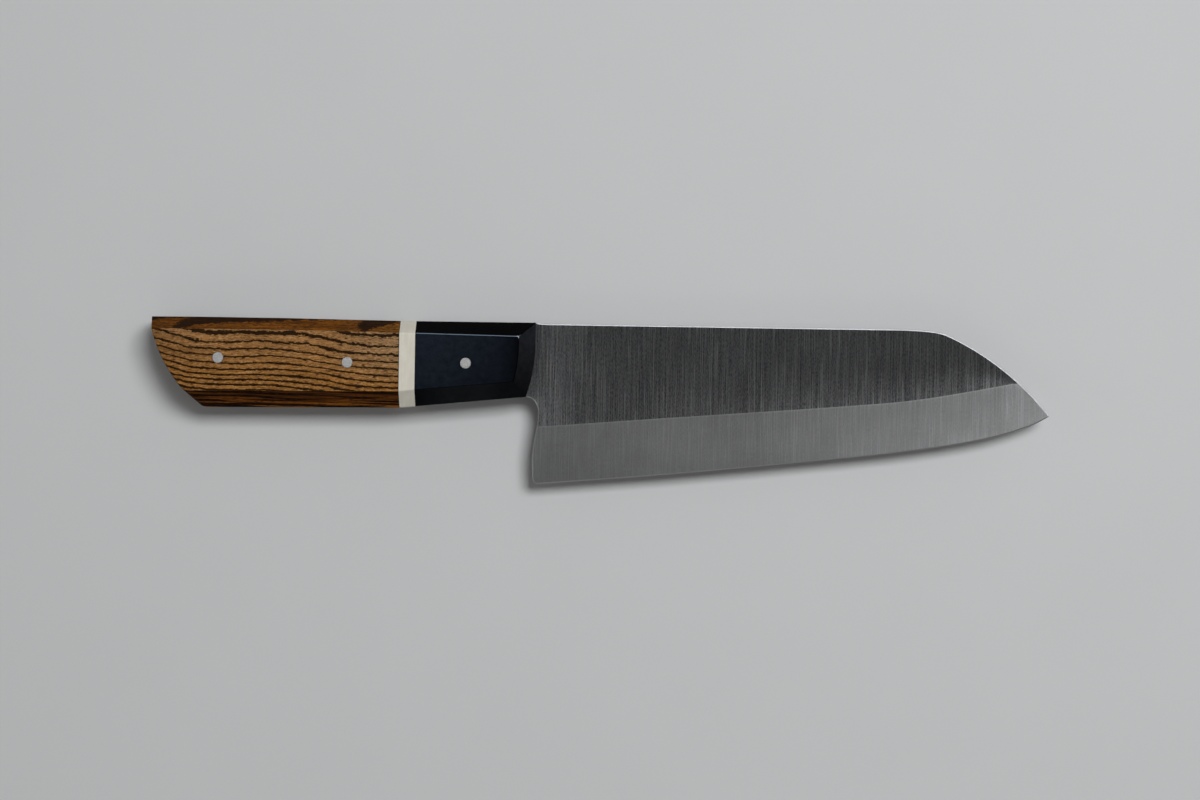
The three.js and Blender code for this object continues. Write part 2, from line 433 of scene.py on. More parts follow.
def bladeRings(outline, surface):
    # rings of points from the rim of the steel in to where its facet ends
    shape = bladeShape
    points = [v.co for v in outline]
    fronts = [bolsterHigh if p.y > bolsterCorner.y else neckCorner for p in points]
    held = [p.x <= front.x + slack for p, front in zip(points, fronts)]
    heldPoints = [p for p, isHeld in zip(points, held) if isHeld]
    thinnest = min(p.z for p in points) - steelMiddle
    rings, kinds = [], []
    for i, p in enumerate(points):
        half = p.z - steelMiddle
        outward = outwardAt(points, i)
        profile = rimProfile(outward)
        if held[i]:
            rings.append([p.copy()] * len(profile))
            kinds.append("tang")
        elif half < thinnest + slack:
            foot = p - outward * shape["edgeHeight"] * mm
            top = Vector((foot.x, foot.y, surface(foot)))
            bottom = Vector((p.x, p.y, steelMiddle + shape["edgeHalf"] * mm))
            rings.append([bottom.lerp(top, k / (len(profile) - 1)) for k in range(len(profile))])
            kinds.append("edge")
        else:
            nearest = min((p - q).xy.length for q in heldPoints)
            size = min(1, shape["thinShare"] * half / profile[0][1])
            size *= smoothStep(nearest / (shape["rimRun"] * mm))
            ring = []
            for inward, drop, _ in profile:
                q = p - outward * inward * size
                z = surface(q) if inward else p.z
                ring.append(Vector((q.x, q.y, z - drop * size)))
            rings.append(ring)
            kinds.append("spine" if outward.y > shape["spineFinish"] else "choil")
    return rings, kinds


def crownedGrind(grind, outline, surface):
    # points of the grind line, of the rows above it, where the flat rolls over, and of one row just below
    shape = bladeShape
    top = sorted((v.co for v in outline if v.co.y > shape["topAbove"] * mm), key=lambda p: p.x)
    line, rows = [], []
    start, end = grind[0].co.x, grind[-1].co.x
    for v in grind:
        p = v.co
        depth = shape["crownDepth"] * mm * smoothStep((p.x - start) / (end - start) * shape["crownGrowth"])
        depth *= smoothStep((end - p.x) / (shape["crownRun"] * mm))
        line.append(Vector((p.x, p.y, p.z - depth)))
        room = (heightOn(top, p.x) or p.y) - p.y
        reach = min(shape["crownHeight"] * mm, shape["crownShare"] * room)
        lower = Vector((p.x, p.y - shape["ridgeWidth"] * mm, 0))
        if v not in (grind[0], grind[-1]):
            rows.append(Vector((lower.x, lower.y, surface(lower) - depth)))
        if reach <= shape["crownLeast"] * mm:
            continue
        for k in range(1, shape["crownSteps"]):
            share = k / shape["crownSteps"]
            q = Vector((p.x, p.y + reach * share, 0))
            rows.append(Vector((q.x, q.y, surface(q) - depth * (1 - share) ** 2)))
    return line, rows


def steelFlat(rim, holes, line, rows, ends, surface):
    # faces of the flat and bevel, with the rim, the holes and the grind line as fixed edges
    points, places = [], {}

    def spot(p):
        key = (round(p.x, 8), round(p.y, 8))
        if key not in places:
            places[key] = len(points)
            points.append(p)
        return places[key]

    loop = [spot(p) for p in rim]
    fixed = [(a, b) for a, b in zip(loop, loop[1:] + loop[:1]) if a != b]
    for hole in holes:
        ids = [spot(p) for p in hole]
        fixed += zip(ids, ids[1:] + ids[:1])
    gate = [loop[ends[0]], *[spot(p) for p in line[1:-1]], loop[ends[1]]]
    fixed += zip(gate, gate[1:])
    for p in rows:
        spot(p)
    made = geometry.delaunay_2d_cdt([p.xy for p in points], fixed, [], 1, 1e-9, True)
    madePoints, madeFaces, madeFrom = made[0], made[2], made[3]
    heights = [points[ids[0]].z if ids else surface(p) for p, ids in zip(madePoints, madeFrom)]
    faces = []
    for ids in madeFaces:
        ring = [Vector((*madePoints[i], heights[i])) for i in ids]
        centre = sum(ring, Vector()) / len(ring)
        if isInside(centre, rim) and not any(isInside(centre, hole) for hole in holes):
            faces.append((ring, centre))
    return faces, [points[i] for i in gate]


def groundNormal(v, *finishes):
    # mean normal of the faces of these finishes round a point, by their areas
    faces = [f for f in v.link_faces if f.material_index in finishes]
    return sum((f.normal * f.calc_area() for f in faces), Vector()).normalized()


def rimNormals(rings, kinds, corner):
    # normals of the rim's points, turning from the way the rim faces to the way the flat does
    normals = {}
    rim = [ring[0] for ring in rings]
    for i, ring in enumerate(rings):
        outward = outwardAt(rim, i)
        turns = [step[2] for step in rimProfile(outward)]
        for side in (1, -1):
            if kinds[i] == "tang":
                normals[corner(ring[0], side)] = outward
            elif kinds[i] != "edge":
                inner = groundNormal(corner(ring[-1], side), flatFace, bevelFace)
                for p, turn in zip(ring, turns):
                    normal = outward * math.cos(turn) + inner * math.sin(turn)
                    normals[corner(p, side)] = normal.normalized()
    return normals


def steelNormals(bm, rounds):
    # one normal for each face corner: smooth over each ground face, turning round each eased rim
    limit = math.cos(math.radians(bladeShape["turnLimit"]))
    normals = []
    for f in bm.faces:
        finish = f.material_index
        for loop in f.loops:
            ground = finish in (flatFace, bevelFace)
            n = groundNormal(loop.vert, finish) if ground else rounds.get(loop.vert, f.normal)
            normals.append(n if n.dot(f.normal) > limit else f.normal.copy())
    return normals


def brushingMap(bm, uv):
    # lays each face flat along the axes that it faces least, to give the brushing its direction
    for f in bm.faces:
        nx, ny, nz = (abs(value) for value in f.normal)
        for loop in f.loops:
            x, y, z = loop.vert.co
            loop[uv].uv = (x, y) if nz > 0.5 else (x, z) if ny >= nx else (z, y)


def bladeSteel():
    cad = cadCopy("blade")
    cad.normal_update()
    outline, holes, grind = bladeOutline(cad)
    tree = BVHTree.FromBMesh(cad)

    def surface(p):
        hit = tree.ray_cast(Vector((p.x, p.y, steelHigh.z + mm)), Vector((0, 0, -1)))[0]
        return hit.z if hit else steelMiddle

    rings, kinds = bladeRings(outline, surface)
    line, rows = crownedGrind(grind, outline, surface)
    holeLines = [[v.co.copy() for v in hole] for hole in holes]
    ends = (outline.index(grind[0]), outline.index(grind[-1]))
    flat, gateLine = steelFlat([ring[-1] for ring in rings], holeLines, line, rows, ends, surface)
    cad.free()

    bm = bmesh.new()
    uv = bm.loops.layers.uv.new("brushing")
    ridge = bm.verts.layers.float.new("ridge")
    known = {}

    def corner(p, side):
        z = p.z if side > 0 else 2 * steelMiddle - p.z
        key = (round(p.x, 8), round(p.y, 8), round(z, 8))
        if key not in known:
            known[key] = bm.verts.new((p.x, p.y, z))
        return known[key]

    def face(corners, finish):
        ring = [c for i, c in enumerate(corners) if c not in corners[:i]]
        if len(ring) > 2 and not bm.faces.get(ring):
            bm.faces.new(ring).material_index = finish

    def below(p):
        level = heightOn(gateLine, p.x)
        return p.x > gateLine[-1].x or level is not None and p.y < level

    for side in (1, -1):
        for ring, centre in flat:
            face([corner(p, side) for p in ring], bevelFace if below(centre) else flatFace)
        for i, ring in enumerate(rings):
            ahead = rings[(i + 1) % len(rings)]
            pair = {kinds[i], kinds[(i + 1) % len(rings)]}
            sharpened = pair & {"edge", "choil"} and "spine" not in pair
            for k in range(len(ring) - 1):
                quad = (ring[k], ahead[k], ahead[k + 1], ring[k + 1])
                face([corner(p, side) for p in quad], edgeFace if sharpened else spineFace)
    for loop in [[ring[0] for ring in rings]] + holeLines:
        for a, b in zip(loop, loop[1:] + loop[:1]):
            face([corner(a, 1), corner(b, 1), corner(b, -1), corner(a, -1)], spineFace)
    bmesh.ops.recalc_face_normals(bm, faces=bm.faces)
    rounds = rimNormals(rings, kinds, corner)
    brushingMap(bm, uv)
    # marks the grind line for the bevel's painted highlight
    for p in gateLine:
        for side in (1, -1):
            corner(p, side)[ridge] = 1.0
    materials = [steelMaterial("flat"), steelMaterial("bevel")]
    materials += [steelMaterial("spine", "x", 0.0), steelMaterial("edge", "y", 0.0)]
    return makePiece("bladeSteel", bm, materials, "blade", steelNormals(bm, rounds))


# Handle blocks

blockShape = {
    "easing": 0.28, "easingSteps": 3,  # mm, round on the outer edges
    "sharpAngle": 18, "flatAngle": 0.5,  # degrees: sharper edges are eased, flatter ones dissolved
    "creaseAngle": 40,  # degrees, sharper edges than this stay creased
    "pinReach": 2.0,  # mm round a pin where no edge is eased
}


def nearPlane(edge, axis, places):
    return any(all(abs(v.co[axis] - at) < slack for v in edge.verts) for at in places)


def nearPin(edge):
    reach = blockShape["pinReach"] * mm
    return any(all((v.co - p).xy.length < reach for v in edge.verts) for p in pinPlaces.values())


def easedBlock(name, node, material):
    bm = cadCopy(node)
    flat = math.radians(blockShape["flatAngle"])
    bmesh.ops.dissolve_limit(bm, angle_limit=flat, verts=bm.verts, edges=bm.edges)
    bm.normal_update()
    sharp = math.radians(blockShape["sharpAngle"])
    joints = (spacerLow.x, spacerHigh.x)
    edgeHighlight = [
        e for e in bm.edges
        if e.calc_face_angle(0) > sharp and not nearPlane(e, 0, joints)
        and not nearPlane(e, 2, bedFaces) and not nearPin(e)
    ]
    bmesh.ops.bevel(
        bm, geom=edgeHighlight, offset=blockShape["easing"] * mm, offset_type="OFFSET", affect="EDGES",
        segments=blockShape["easingSteps"], profile=0.5, clamp_overlap=True, loop_slide=True,
    )
    bmesh.ops.recalc_face_normals(bm, faces=bm.faces)
    markSharp(bm, blockShape["creaseAngle"])
    return makePiece(name, bm, [material], node)


# Wood

woodFinish = {
    "tan": (0.332, 0.159, 0.053), "tanDeep": (0.322, 0.139, 0.032),  # high and low on the side face
    "fleck": (0.52, 0.30, 0.135), "pale": (0.36, 0.245, 0.135),  # flecks on that, and high at the front end
    "line": (0.009, 0.0042, 0.0022), "lineShare": 0.95,
    "pore": (0.03, 0.012, 0.005), "poreShare": 0.9,
    "edgeHighlight": (0.36, 0.21, 0.10),  # painted highlight along the eased edge of the top facet
    "topTint": (0.49, 0.33, 0.095),  # of the top facet, against the side face; partly darker wood and partly painted shade
    # dark, middle and bright streaks of the bottom facet, dark partly as painted shade, and how fast they
    # fall towards the blade
    "under": ((0.007, 0.0016, 0.0004), (0.165, 0.05, 0.0065), (0.29, 0.102, 0.011)),
    "underSlope": 0.03,
    "roughness": (0.56, 0.44), "gloss": 0.04, "glossTint": (1.0, 0.74, 0.48),
    "fibreRelief": 0.4, "bump": (0.5, 0.03),  # against the pores, then strength and depth in mm
    "glue": (0.3, 0.1, 0.85),  # joint at the spacer: mm from it where it starts and is full, share
    "facetHeight": 4.0,  # mm, of the top facet seen from the side
    "tilt": 1.15,  # how far the rings lean from the side face to the top facet
    "rings": (-0.31, 0.32, 0.0085),  # count at the side face's top, rings to a mm there and their growth
    "firstLine": 1.8,  # how much wider the uppermost line is behind the middle
    # mm that the lines fall, at shares of the grip's length, and the range that holds them
    "fall": ((0.0, -3.8), (0.06, -2.6), (0.12, -1.4), (0.19, -0.35), (0.3, 0.1), (0.48, 0.0),
             (0.58, 0.35), (0.69, 1.3), (0.8, 2.7), (0.9, 3.3), (1.0, 3.5)),
    "fallSpan": 8.0,
    # dark streaks on the top facet, from and to shares of the grip's length: each has a blunt tip at a
    # share of the facet's height, hook and drop turn its two sides down there, tail thickens what follows
    "tongues": (
        {"from": -0.1, "to": 0.1, "tip": 0.9, "hook": 0.0, "drop": 1.6, "tail": 0.3, "pace": 3.0},
        {"from": 0.092, "to": 0.70, "tip": 0.1, "hook": 0.7, "drop": 0.8, "tail": 0.56, "pace": 11.0},
        {"from": 0.825, "to": 1.2, "tip": 0.45, "hook": 0.0, "drop": 1.35, "tail": 0.03, "pace": 3.6},
    ),
    "tongueSides": (1.1, 0.92),  # shares of the facet's height where their two sides end
    "tongueWaver": (0.5, 0.07, 0.05),  # how far they waver up and along, and how blunt their tips are
    "noises": {  # scale, detail, roughness and offset
        "wave": ((0.055, 0.16, 0.16), 2.0, 0.5, (1.0, 2.0, 0.5)),
        "ripple": ((0.6, 0.3, 0.3), 3.0, 0.6, (7.0, 1.0, 3.0)),
        "swell": ((0.16, 0.5, 0.5), 4.0, 0.65, (4.0, 8.0, 2.0)),
        "fray": ((0.9, 2.6, 2.6), 3.0, 0.6, (3.0, 1.0, 8.0)),
        "fibre": ((0.12, 3.2, 3.2), 4.0, 0.6, (0.0, 5.0, 1.0)),
        "pore": ((0.55, 4.5, 4.5), 2.0, 0.5, (9.0, 2.0, 6.0)),
        "blotch": ((0.07, 0.35, 0.35), 3.0, 0.6, (2.0, 9.0, 4.0)),
        "fleck": ((1.0, 2.2, 2.2), 2.0, 0.6, (5.0, 4.0, 7.0)),
    },
    "streak": ((0.022, 1.2, 1.2), 2.5, 0.6, (6.0, 3.0, 2.0)),
    "widths": {"swell": (0.5, 1.8), "fray": (0.6, 1.4)},  # how these noises change the dark lines' widths
    "shades": {"fibre": (0.7, 1.25), "blotch": (0.85, 1.15), "fray": (0.75, 1.25)},  # and the tan's shade
    "ramps": {  # from and to of what each one follows, and its values there
        "swing": (4.0, 12.0, 3.0, 1.2),  # mm that the lines bend slowly, by depth in mm
        "shake": (3.0, 8.0, 1.3, 0.6),  # and quickly
        "halfLine": (10.0, 26.0, 0.108, 0.245),  # half a line's width as a share of a ring, by depth
        "lineEdge": (-0.035, 0.035),  # its soft edge, by share of a ring
        "deep": (3.0, 14.0),  # from tan to deep tan, by depth
        "pale": (0.72, 1.0, 0.0, 0.5),  # by share of the grip's length
        "butt": (0.0, 0.2, 0.66, 1.0),  # darker butt end, by the same
        "firstAlong": (0.5, 0.8),  # where the wider uppermost line ends, by the same
        "firstDepth": (1.8, 2.6),  # and by depth
        "fleckDark": (0.3, 0.5, 0.84, 1.0),  # by noise, as the next five are
        "fleckPale": (0.5, 0.66, 0.0, 0.5),
        "pore": (0.575, 0.635),
        "topStreaks": (0.4, 0.6, 0.72, 1.26),
        "underLit": (0.46, 0.59),
        "edgeLit": (0.46, 0.56),
        "poreNear": (0.108, 0.45, 0.06, 0.0),  # more pores beside a line, by share of a ring
        "underFade": (6.0, 8.0, 1.0, 0.5),  # by mm from the middle of the steel
        "underEdge": (4.4, 6.0, 0.8, 0.0),
        "onTop": (0.3, 0.6),  # by how far the surface faces up
        "highlightOnTop": (0.1, 0.2, 0.0, 0.6),
        "onSide": (0.78, 0.9),  # by how squarely it faces the side
        "highlightedEdge": ((0.8, 0.9), (0.95, 0.99, 1.0, 0.0)),
        "tongueBody": (-0.06, 0.04),  # by share of the facet's height
        "tongueTip": (-0.01, 0.01),  # by share of the grip's length
        "tongueFibre": (0.35, 0.6, 1.0, 0.92),  # by noise
    },
}
woodRamps = woodFinish["ramps"]
sideTop = gripHigh.y / mm - woodFinish["facetHeight"]


def woodRamp(value, name):
    return remap(value, *woodRamps[name])


def centred(noise):
    return minus(noise, 0.5)


def fallOfLines(along):
    stops, span = woodFinish["fall"], woodFinish["fallSpan"]
    curve = join("FloatCurve", {"Value": along})
    points = curve.mapping.curves[0].points
    for at, fall in stops[1:-1]:
        points.new(at, 0.5 + fall / span)
    for end in (0, -1):
        at, fall = stops[end]
        points[end].location = (at, 0.5 + fall / span)
    curve.mapping.update()
    return times(centred(curve.outputs["Value"]), span)


def woodLines(at, noise):
    # rings counted down from the side face's top edge, leaning into the thickness, alike on both scales
    lean = times(minus(at["thick"], (gripHigh.z - steelMiddle) / mm), woodFinish["tilt"])
    depth = minus(sideTop, plus(at["y"], lean))
    swing = times(centred(noise["wave"]), woodRamp(depth, "swing"))
    shake = times(centred(noise["ripple"]), woodRamp(depth, "shake"))
    fallen = minus(depth, fallOfLines(at["along"]))
    depth = plus(fallen, plus(swing, shake))
    start, rate, growth = woodFinish["rings"]
    pace = plus(rate, times(depth, growth))
    rings = plus(start, times(depth, pace))
    offset = absolute(centred(calc("FRACT", plus(rings, 0.5))))

    # a dark line at each ring, wider low on the grip and at the uppermost one
    half = woodRamp(depth, "halfLine")
    for name, ends in woodFinish["widths"].items():
        half = times(half, spread(noise[name], *ends))
    wider = woodFinish["firstLine"]
    first = remap(at["along"], *woodRamps["firstAlong"], wider, 1.0)
    first = minus(first, remap(depth, *woodRamps["firstDepth"], 0.0, wider - 1.0))
    half = times(half, calc("MAXIMUM", first, 1.0))
    mask = softly(minus(half, offset), *woodRamps["lineEdge"])
    return depth, offset, mask


def sideWood(at, noise, depth):
    # tan between the lines: deeper low down, darker at the butt, paler at the front, and flecked
    finish = woodFinish
    deep = woodRamp(depth, "deep")
    color = mixColor(deep, finish["tan"], finish["tanDeep"])
    paler = times(woodRamp(at["along"], "pale"), minus(1.0, deep))
    color = mixColor(paler, color, finish["pale"])
    color = mixColor(woodRamp(noise["fleck"], "fleckPale"), color, finish["fleck"])
    shade = woodRamp(noise["fleck"], "fleckDark")
    shade = times(shade, woodRamp(at["along"], "butt"))
    for name, ends in finish["shades"].items():
        shade = times(shade, spread(noise[name], *ends))
    return shaded(color, shade)


def facetWood(at, side):
    # the facets are darker, partly wood cut across the grain and partly painted shade, streaked underneath,
    # and the edge of the top one gets a painted highlight
    finish = woodFinish
    sloped = plus(at["y"], times(at["x"], finish["underSlope"]))
    streakPlace = join("CombineXYZ", {0: at["x"], 1: sloped, 2: at["thick"]}).outputs[0]
    streak = noiseAt(streakPlace, *finish["streak"])
    dark, middle, orange = finish["under"]
    fade = woodRamp(at["thick"], "underFade")
    under = mixColor(times(woodRamp(streak, "underLit"), fade), dark, middle)
    lowEdge = woodRamp(at["thick"], "underEdge")
    lowEdge = times(lowEdge, woodRamp(streak, "edgeLit"))
    under = mixColor(lowEdge, under, orange)
    upper = mixColor(1.0, side, finish["topTint"], "MULTIPLY")
    upper = shaded(upper, woodRamp(streak, "topStreaks"))
    color = mixColor(at["onSide"], mixColor(at["onTop"], under, upper), side)
    # painted highlight along the eased edge of the top facet
    highlightedEdge = follow(at["facing"], *woodRamps["highlightedEdge"])
    highlightedEdge = times(highlightedEdge, woodRamp(at["up"], "highlightOnTop"))
    return mixColor(highlightedEdge, color, finish["edgeHighlight"])


def topTongues(at, noise):
    # each streak starts low and blunt, then rises and thins along the facet's upper edge
    upEnd, lowEnd = woodFinish["tongueSides"]
    waverUp, waverAlong, blunt = woodFinish["tongueWaver"]
    rise = calc("DIVIDE", minus(at["y"], sideTop), woodFinish["facetHeight"])
    rise = plus(rise, times(centred(noise["ripple"]), waverUp))
    frayed = plus(at["along"], times(centred(noise["fray"]), waverAlong))
    streaks = 0.0
    for tongue in woodFinish["tongues"]:
        left = remap(frayed, tongue["from"], tongue["to"], 1.0, 0.0)
        turn = calc("POWER", left, tongue["pace"])
        upper = minus(upEnd, times(turn, tongue["hook"]))
        lower = minus(lowEnd, times(left, tongue["tail"]))
        lower = minus(lower, times(turn, tongue["drop"]))
        inside = calc("MINIMUM", minus(upper, rise), minus(rise, lower))
        off = absolute(minus(rise, tongue["tip"]))
        tip = minus(frayed, times(off, blunt))
        begins, begun = (tongue["from"] + d for d in woodRamps["tongueTip"])
        body = times(softly(inside, *woodRamps["tongueBody"]), softly(tip, begins, begun))
        streaks = calc("MAXIMUM", streaks, body)
    return times(streaks, woodRamp(noise["fibre"], "tongueFibre"), at["onTop"])


def woodMaterial():
    finish = woodFinish
    material, tree, shader = newMaterial("striped_wood")
    place = millimetres(tree)
    noise = noisesAt(place, finish["noises"])
    x, y, z = parts(place)
    up, facing = directions(tree)[1:]
    at = {
        "x": x, "y": y, "up": up, "facing": facing,
        "thick": absolute(minus(z, steelMiddle / mm)),
        "along": remap(x, gripLow.x / mm, gripHigh.x / mm),
        "onTop": woodRamp(up, "onTop"),
        "onSide": woodRamp(facing, "onSide"),
    }
    depth, offset, lines = woodLines(at, noise)
    pores = plus(noise["pore"], woodRamp(offset, "poreNear"))
    pores = softly(pores, *woodRamps["pore"])
    dark = plus(times(lines, at["onSide"]), topTongues(at, noise))
    startsAt, fullAt, share = finish["glue"]
    front = gripHigh.x / mm
    glue = remap(x, front - startsAt, front - fullAt, 0.0, share)

    color = facetWood(at, sideWood(at, noise, depth))
    color = mixColor(times(pores, finish["poreShare"]), color, finish["pore"])
    color = mixColor(times(dark, finish["lineShare"]), color, finish["line"])
    color = mixColor(glue, color, finish["line"])
    paint(shader, color, spread(noise["fibre"], *finish["roughness"]))
    shader.inputs["Specular IOR Level"].default_value = finish["gloss"]
    shader.inputs["Specular Tint"].default_value = (*finish["glossTint"], 1.0)
    height = minus(times(noise["fibre"], finish["fibreRelief"]), pores)
    addBump(shader, height, *finish["bump"])
    return material


# Black bolster

bolsterFinish = {
    "base": (0.0050, 0.0070, 0.0114), "fleck": (0.0117, 0.0149, 0.0210),  # of the side faces
    "upper": (0.0009, 0.0010, 0.0013), "lower": (0.0060, 0.0068, 0.0078),  # of the long facets, set apart by painted shade
    # the front facet's colour, likewise painted shade
    "front": (0.0126, 0.0130, 0.0152),
    "edgeShade": (0.0006, 0.0008, 0.0012),  # painted shade on the lower and front edges
    "edge": (0.22, 0.29, 0.37), "glint": (0.55, 0.62, 0.70),  # painted highlight along the upper edge, and a painted glint at its front corner
    "glintReach": (0.25, 0.7, 1.0, 0.0),  # by mm from that corner
    "roughness": (0.26, 0.34), "gloss": 0.02, "bump": (0.25, 0.02),
    "mottle": (0.38, 0.66),  # noise levels of the base and the flecks
    "facetMottle": (0.7, 1.3),  # shades of the facets
    "noises": {
        "cloud": ((0.5, 0.5, 0.5), 5.0, 0.65, (2.0, 0.0, 1.0)),
        "grain": ((3.0, 5.0, 5.0), 3.0, 0.6, (0.0, 3.0, 1.0)),
        "sanding": ((0.08, 6.0, 6.0), 3.0, 0.6, (1.0, 7.0, 0.0)),
    },
    "cloudShare": 0.6, "grainShare": 0.5,  # of the mottle, and of the relief
    # painted shade from the back to the front: from and to shares of the side face's length, and values
    # there
    "sideShade": ((0.2, 0.8, 1.5, 1.0), (0.8, 1.0, 1.0, 0.25)),
    "lowerShade": ((0.0, 0.35, 0.4, 1.35), (0.7, 0.85, 1.0, 0.55)),
    "sideLow": (0.68, 1.0), "frontLow": (0.3, 1.25),  # painted shade from the bottom up
    "lowFacet": 5.0,  # mm, height of the lower facet seen from the side
    # which face or edge a place belongs to, by how far it faces up, the front or the side
    "facesUp": (-0.3, 0.3), "facesFront": (0.3, 0.5), "facesSide": (0.8, 0.97),
    "eased": ((0.76, 0.82), (0.985, 0.995, 1.0, 0.0)),
    "lowEdge": (-0.1, -0.03, 1.0, 0.0), "frontEdge": (0.05, 0.12),
    "edgeHighlight": ((0.8, 0.86), (0.93, 0.98, 1.0, 0.0)),
    "topEdge": (0.15, 0.25, 0.0, 0.8), "notFront": (0.05, 0.12, 1.0, 0.0),
}


def bolsterEdges(color, x, y, forward, up, facing):
    # a thin painted highlight along the upper edge, brighter at the front corner as a painted glint, and
    # painted shade on the lower and front edges
    finish = bolsterFinish
    # painted shade on the lower and front edges
    eased = follow(facing, *finish["eased"])
    low, front = remap(up, *finish["lowEdge"]), remap(forward, *finish["frontEdge"])
    color = mixColor(times(eased, calc("MAXIMUM", low, front)), color, finish["edgeShade"])
    # painted highlight along the upper edge and painted glint at its front corner
    edgeHighlight = follow(facing, *finish["edgeHighlight"])
    line = times(remap(up, *finish["topEdge"]), remap(forward, *finish["notFront"]))
    color = mixColor(times(edgeHighlight, line), color, finish["edge"])
    awayX = absolute(minus(x, bolsterCorner.x / mm))
    awayY = absolute(minus(y, bolsterCorner.y / mm))
    away = calc("MAXIMUM", awayX, awayY)
    spot = times(edgeHighlight, remap(away, *finish["glintReach"]))
    return mixColor(spot, color, finish["glint"])


def bolsterMaterial():
    finish = bolsterFinish
    material, tree, shader = newMaterial("black_resin")
    place = millimetres(tree)
    noise = noisesAt(place, finish["noises"])
    x, y = parts(place)[:2]
    forward, up, facing = directions(tree)
    sideHigh = bolsterCorner.y / mm
    mottle = blend(noise["cloud"], noise["grain"], finish["cloudShare"])
    mottle = remap(mottle, *finish["mottle"])

    # painted shade along the side face: lighter at the back, darker at the front and low down
    share = remap(x, spacerHigh.x / mm, bolsterCorner.x / mm)
    shade = follow(share, *finish["sideShade"])
    sideBottom = bolsterLow.y / mm + finish["lowFacet"]
    shade = times(shade, remap(y, sideBottom, sideHigh, *finish["sideLow"]))
    side = shaded(mixColor(mottle, finish["base"], finish["fleck"]), shade)

    # the facets' colours, and their darkening along and up them, are painted shade
    lower = shaded(finish["lower"], follow(share, *finish["lowerShade"]))
    front = shaded(finish["front"], remap(y, neckCorner.y / mm, sideHigh, *finish["frontLow"]))
    facet = mixColor(remap(up, *finish["facesUp"]), lower, finish["upper"])
    facet = mixColor(remap(forward, *finish["facesFront"]), facet, front)
    facet = shaded(facet, remap(mottle, 0.0, 1.0, *finish["facetMottle"]))

    color = mixColor(remap(facing, *finish["facesSide"]), facet, side)
    color = bolsterEdges(color, x, y, forward, up, facing)
    paint(shader, color, spread(noise["sanding"], *finish["roughness"]))
    shader.inputs["Specular IOR Level"].default_value = finish["gloss"]
    relief = blend(noise["grain"], noise["sanding"], finish["grainShare"])
    addBump(shader, relief, *finish["bump"])
    return material


# Ivory spacer

spacerFinish = {
    "warm": (0.66, 0.61, 0.51), "pale": (0.74, 0.70, 0.60),
    "facet": (0.7, 0.95, 0.91, 1.0),  # painted shade of the facets, by how squarely they face the side
    "noises": {
        "cloud": ((0.35, 0.22, 0.3), 4.0, 0.6, (1.0, 0.0, 2.0)),
        "layers": ((3.0, 0.12, 0.12), 3.0, 0.6, (0.0, 2.0, 5.0)),
    },
    "cloudShare": 0.55, "roughness": (0.4, 0.52), "bump": (0.15, 0.02),
}


def spacerMaterial():
    finish = spacerFinish
    material, tree, shader = newMaterial("ivory_resin")
    noise = noisesAt(millimetres(tree), finish["noises"])
    tone = remap(blend(noise["cloud"], noise["layers"], finish["cloudShare"]), *toneLevels)
    color = mixColor(tone, finish["warm"], finish["pale"])
    # facets darkened as painted shade
    facing = directions(tree)[2]
    color = shaded(color, remap(facing, *finish["facet"]))
    paint(shader, color, spread(noise["layers"], *finish["roughness"]))
    addBump(shader, noise["layers"], *finish["bump"])
    return material


# Epoxy beds

epoxyFinish = {
    "dark": (0.012, 0.010, 0.008), "amber": (0.035, 0.024, 0.013),
    "cloud": ((0.4, 0.8, 2.0), 4.0, 0.6), "roughness": 0.38, "bump": (0.2, 0.02),
}


def epoxyMaterial():
    finish = epoxyFinish
    material, tree, shader = newMaterial("cured_epoxy")
    cloud = noiseAt(millimetres(tree), *finish["cloud"])
    color = mixColor(remap(cloud, *toneLevels), finish["dark"], finish["amber"])
    paint(shader, color, finish["roughness"])
    addBump(shader, cloud, *finish["bump"])
    return material


# Pins

pinShape = {"sides": 64, "chamfer": 0.06, "dome": 0.02, "domeRings": 5, "creaseAngle": 30}  # mm, degrees
pinFinish = {
    "dark": (0.38, 0.377, 0.367), "light": (0.78, 0.773, 0.755),
    "noises": {
        "sanded": ((0.6, 7.0, 1.0), 3.0, 0.6, (0.0, 2.0, 1.0)),
        "crossed": ((5.0, 0.8, 1.0), 3.0, 0.6, (4.0, 0.0, 1.0)),
    },
    "sandedShare": 0.6, "roughness": (0.62, 0.52), "bump": (0.3, 0.02),
}


def pinMaterial():
    finish = pinFinish
    material, tree, shader = newMaterial("pin_steel")
    noise = noisesAt(millimetres(tree), finish["noises"])
    tone = blend(noise["sanded"], noise["crossed"], finish["sandedShare"])
    color = mixColor(remap(tone, *toneLevels), finish["dark"], finish["light"])
    paint(shader, color, remap(tone, *toneLevels, *finish["roughness"]))
    shader.inputs["Metallic"].default_value = 1.0
    addBump(shader, tone, *finish["bump"])
    return material


